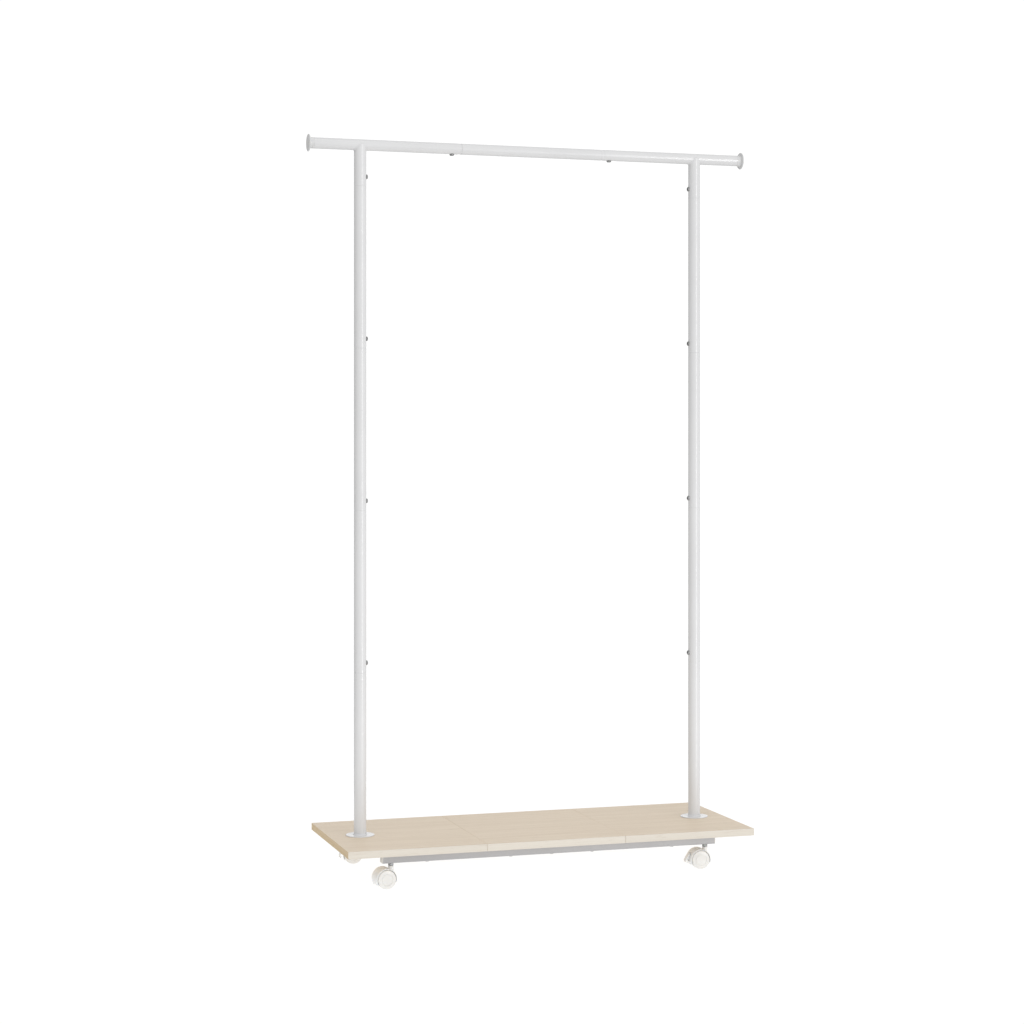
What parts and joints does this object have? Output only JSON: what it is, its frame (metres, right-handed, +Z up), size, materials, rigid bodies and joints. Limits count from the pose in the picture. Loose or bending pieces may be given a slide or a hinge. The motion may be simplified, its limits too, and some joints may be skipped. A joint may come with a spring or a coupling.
{
  "type": "rolling clothes rack",
  "caption": "Free-standing clothes rack: a straight round hanging rail on jointed tube uprights, a low wooden shelf on grey base rails, and twin-wheel swivel castors with brake pedals.",
  "frame": {"origin": "on the floor, midway between the uprights and midway across the shelf", "axes": "+X along the hanging rail to the right, +Y to the rear, +Z up"},
  "size_m": [1.05, 0.376, 1.6645],
  "materials": {
    "white_tube": "satin white powder coat",
    "cap_plastic": "moulded white plastic, satin",
    "shelf_wood": "pale birch-look laminate, matt, straight fine grain along X",
    "base_rail_steel": "light silver-grey powder coat",
    "plug_plastic": "moulded grey plastic",
    "castor_plastic": "warm white moulded nylon, satin",
    "wheel_plastic": "warm white moulded nylon, satin",
    "zinc_steel": "zinc plated",
    "zinc_screw": "zinc plated",
    "dark_steel": "dark zinc-nickel plated"
  },
  "bodies": {
    "frame": {"base_rail_front": "base_rail_steel", "base_rail_front_plugs": "plug_plastic", "base_rail_rear": "base_rail_steel", "base_rail_rear_plugs": "plug_plastic", "castor_front_left_stem": "dark_steel", "castor_front_right_stem": "dark_steel", "castor_inserts": "zinc_steel", "castor_rear_left_stem": "dark_steel", "castor_rear_right_stem": "dark_steel", "panel_inserts": "zinc_steel", "panel_screws_front": "zinc_screw", "panel_screws_rear": "zinc_screw", "rail_joint_nuts": "zinc_steel", "rail_left_end_cap": "cap_plastic", "rail_left_section": "white_tube", "rail_middle_section": "white_tube", "rail_right_end_cap": "cap_plastic", "rail_right_section": "white_tube", "rail_screws": "dark_steel", "shelf_left_panel": "shelf_wood", "shelf_middle_panel": "shelf_wood", "shelf_right_panel": "shelf_wood", "upright_foot_bolts": "zinc_steel", "upright_foot_plates": "zinc_steel", "upright_left_foot_nut": "zinc_steel", "upright_left_joint_nuts": "zinc_steel", "upright_left_screws": "dark_steel", "upright_left_tube_1": "white_tube", "upright_left_tube_2": "white_tube", "upright_left_tube_3": "white_tube", "upright_left_tube_4": "white_tube", "upright_right_foot_nut": "zinc_steel", "upright_right_joint_nuts": "zinc_steel", "upright_right_screws": "dark_steel", "upright_right_tube_1": "white_tube", "upright_right_tube_2": "white_tube", "upright_right_tube_3": "white_tube", "upright_right_tube_4": "white_tube"},
    "castor_front_left_swivel": {"castor_front_left_axle": "zinc_steel", "castor_front_left_hood": "castor_plastic"},
    "castor_front_left_front_wheel": {"castor_front_left_front_wheel": "wheel_plastic"},
    "castor_front_left_rear_wheel": {"castor_front_left_rear_wheel": "wheel_plastic"},
    "castor_front_right_swivel": {"castor_front_right_axle": "zinc_steel", "castor_front_right_brake_pin": "zinc_steel", "castor_front_right_hood": "castor_plastic"},
    "castor_front_right_front_wheel": {"castor_front_right_front_wheel": "wheel_plastic"},
    "castor_front_right_rear_wheel": {"castor_front_right_rear_wheel": "wheel_plastic"},
    "castor_front_right_brake_pedal": {"castor_front_right_brake_pedal": "castor_plastic"},
    "castor_rear_left_swivel": {"castor_rear_left_axle": "zinc_steel", "castor_rear_left_brake_pin": "zinc_steel", "castor_rear_left_hood": "castor_plastic"},
    "castor_rear_left_front_wheel": {"castor_rear_left_front_wheel": "wheel_plastic"},
    "castor_rear_left_rear_wheel": {"castor_rear_left_rear_wheel": "wheel_plastic"},
    "castor_rear_left_brake_pedal": {"castor_rear_left_brake_pedal": "castor_plastic"},
    "castor_rear_right_swivel": {"castor_rear_right_axle": "zinc_steel", "castor_rear_right_hood": "castor_plastic"},
    "castor_rear_right_front_wheel": {"castor_rear_right_front_wheel": "wheel_plastic"},
    "castor_rear_right_rear_wheel": {"castor_rear_right_rear_wheel": "wheel_plastic"}
  },
  "joints": [
    {"name": "castor_front_left_swivel", "type": "hinge", "parent": "frame", "child": "castor_front_left_swivel", "pos_m": [-0.371, -0.147, 0.045], "axis": [0, 0, 1], "continuous": true},
    {"name": "castor_front_left_front_wheel_spin", "type": "hinge", "parent": "castor_front_left_swivel", "child": "castor_front_left_front_wheel", "pos_m": [-0.38593, -0.14844, 0.021], "axis": [-0.0958, 0.9954, 0], "continuous": true},
    {"name": "castor_front_left_rear_wheel_spin", "type": "hinge", "parent": "castor_front_left_swivel", "child": "castor_front_left_rear_wheel", "pos_m": [-0.38593, -0.14844, 0.021], "axis": [-0.0958, 0.9954, 0], "continuous": true},
    {"name": "castor_front_right_swivel", "type": "hinge", "parent": "frame", "child": "castor_front_right_swivel", "pos_m": [0.371, -0.147, 0.045], "axis": [0, 0, 1], "continuous": true},
    {"name": "castor_front_right_front_wheel_spin", "type": "hinge", "parent": "castor_front_right_swivel", "child": "castor_front_right_front_wheel", "pos_m": [0.35604, -0.14595, 0.021], "axis": [0.0698, 0.9976, 0], "continuous": true},
    {"name": "castor_front_right_rear_wheel_spin", "type": "hinge", "parent": "castor_front_right_swivel", "child": "castor_front_right_rear_wheel", "pos_m": [0.35604, -0.14595, 0.021], "axis": [0.0698, 0.9976, 0], "continuous": true},
    {"name": "castor_front_right_brake", "type": "hinge", "parent": "castor_front_right_swivel", "child": "castor_front_right_brake_pedal", "pos_m": [0.34157, -0.14494, 0.03], "axis": [-0.0698, -0.9976, 0], "range_deg": [0, 14]},
    {"name": "castor_rear_left_swivel", "type": "hinge", "parent": "frame", "child": "castor_rear_left_swivel", "pos_m": [-0.371, 0.147, 0.045], "axis": [0, 0, 1], "continuous": true},
    {"name": "castor_rear_left_front_wheel_spin", "type": "hinge", "parent": "castor_rear_left_swivel", "child": "castor_rear_left_front_wheel", "pos_m": [-0.38562, 0.15037, 0.021], "axis": [0.225, 0.9744, 0], "continuous": true},
    {"name": "castor_rear_left_rear_wheel_spin", "type": "hinge", "parent": "castor_rear_left_swivel", "child": "castor_rear_left_rear_wheel", "pos_m": [-0.38562, 0.15037, 0.021], "axis": [0.225, 0.9744, 0], "continuous": true},
    {"name": "castor_rear_left_brake", "type": "hinge", "parent": "castor_rear_left_swivel", "child": "castor_rear_left_brake_pedal", "pos_m": [-0.39974, 0.15364, 0.03], "axis": [-0.225, -0.9744, 0], "range_deg": [0, 14]},
    {"name": "castor_rear_right_swivel", "type": "hinge", "parent": "frame", "child": "castor_rear_right_swivel", "pos_m": [0.371, 0.147, 0.045], "axis": [0, 0, 1], "continuous": true},
    {"name": "castor_rear_right_front_wheel_spin", "type": "hinge", "parent": "castor_rear_right_swivel", "child": "castor_rear_right_front_wheel", "pos_m": [0.35633, 0.15012, 0.021], "axis": [0.2079, 0.9781, 0], "continuous": true},
    {"name": "castor_rear_right_rear_wheel_spin", "type": "hinge", "parent": "castor_rear_right_swivel", "child": "castor_rear_right_rear_wheel", "pos_m": [0.35633, 0.15012, 0.021], "axis": [0.2079, 0.9781, 0], "continuous": true}
  ]
}
